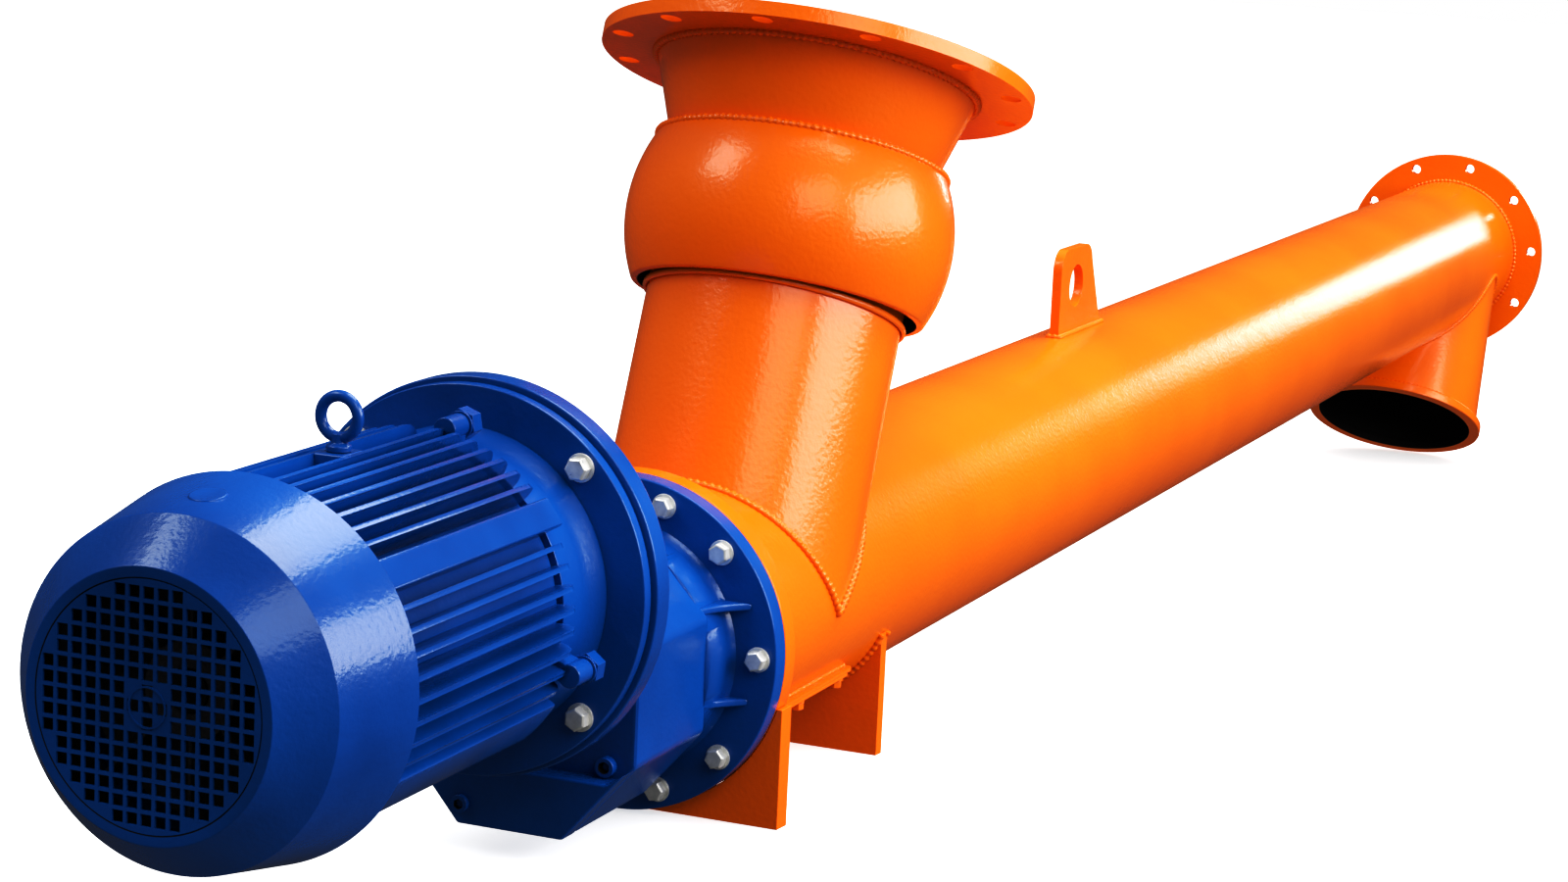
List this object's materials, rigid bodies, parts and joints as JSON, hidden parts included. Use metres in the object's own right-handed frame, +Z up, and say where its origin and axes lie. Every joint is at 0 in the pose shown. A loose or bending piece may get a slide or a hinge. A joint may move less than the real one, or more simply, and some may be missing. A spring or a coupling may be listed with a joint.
{
  "type": "screw feeder",
  "caption": "A tubular screw feeder on two feet: a geared motor drives an auger in a long tube with a ball-jointed flanged inlet on top and a slanted outlet under its far end.",
  "frame": {"origin": "at floor level, below the middle of the overall box in X and Y", "axes": "+X from the motor to the far end flange along the longest extent, +Y to the side away from the picture's camera, +Z up; the tube rises toward +X by about 3 degrees"},
  "size_m": [3.6962, 0.375, 0.643],
  "materials": {
    "auger_steel": "bare mild steel, a little polished by the material",
    "bare_steel": "turned steel with light machining rings",
    "blue_enamel": "deep blue glossy enamel over cast iron and sheet steel, with a fine orange peel",
    "dark_plastic": "black moulded nylon",
    "orange_enamel": "deep orange glossy enamel, with a light orange peel and paint running over the weld beads"
  },
  "bodies": {
    "feeder": {"adapter_flange": "blue_enamel", "auger_flight_1": "auger_steel", "auger_flight_2": "auger_steel", "auger_flight_3": "auger_steel", "auger_flight_4": "auger_steel", "auger_flight_5": "auger_steel", "auger_flight_6": "auger_steel", "auger_flight_7": "auger_steel", "auger_shaft": "auger_steel", "ball_seat": "dark_plastic", "drive_end_flange": "orange_enamel", "end_bearing": "orange_enamel", "end_flange": "orange_enamel", "end_plate": "orange_enamel", "eye_bolt": "blue_enamel", "eye_bolt_pad": "blue_enamel", "fan_cowl": "blue_enamel", "fan_grille": "blue_enamel", "feeder_tube": "orange_enamel", "flange_spigot": "blue_enamel", "front_foot": "orange_enamel", "gear_flange": "blue_enamel", "gear_housing": "blue_enamel", "gear_sump": "blue_enamel", "hatch_bar_left": "orange_enamel", "hatch_bar_right": "orange_enamel", "hatch_cover": "orange_enamel", "inlet_ball": "orange_enamel", "inlet_cone": "orange_enamel", "inlet_flange": "orange_enamel", "inlet_neck": "orange_enamel", "lifting_lug": "orange_enamel", "motor_adapter": "blue_enamel", "motor_body": "blue_enamel", "motor_end_shield": "blue_enamel", "motor_flange": "blue_enamel", "motor_rear_shield": "blue_enamel", "neck_collar": "orange_enamel", "oil_plug_front": "blue_enamel", "oil_plug_side": "blue_enamel", "outlet_ring": "orange_enamel", "outlet_spout": "orange_enamel", "rear_foot": "orange_enamel"},
    "fan_rotor": {"cooling_fan": "dark_plastic", "motor_shaft_end": "bare_steel"}
  },
  "joints": [
    {"name": "fan_spin", "type": "hinge", "parent": "feeder", "child": "fan_rotor", "pos_m": [-1.78032, 0, 0.20313], "axis": [0.9985, 0, 0.0551], "continuous": true}
  ]
}
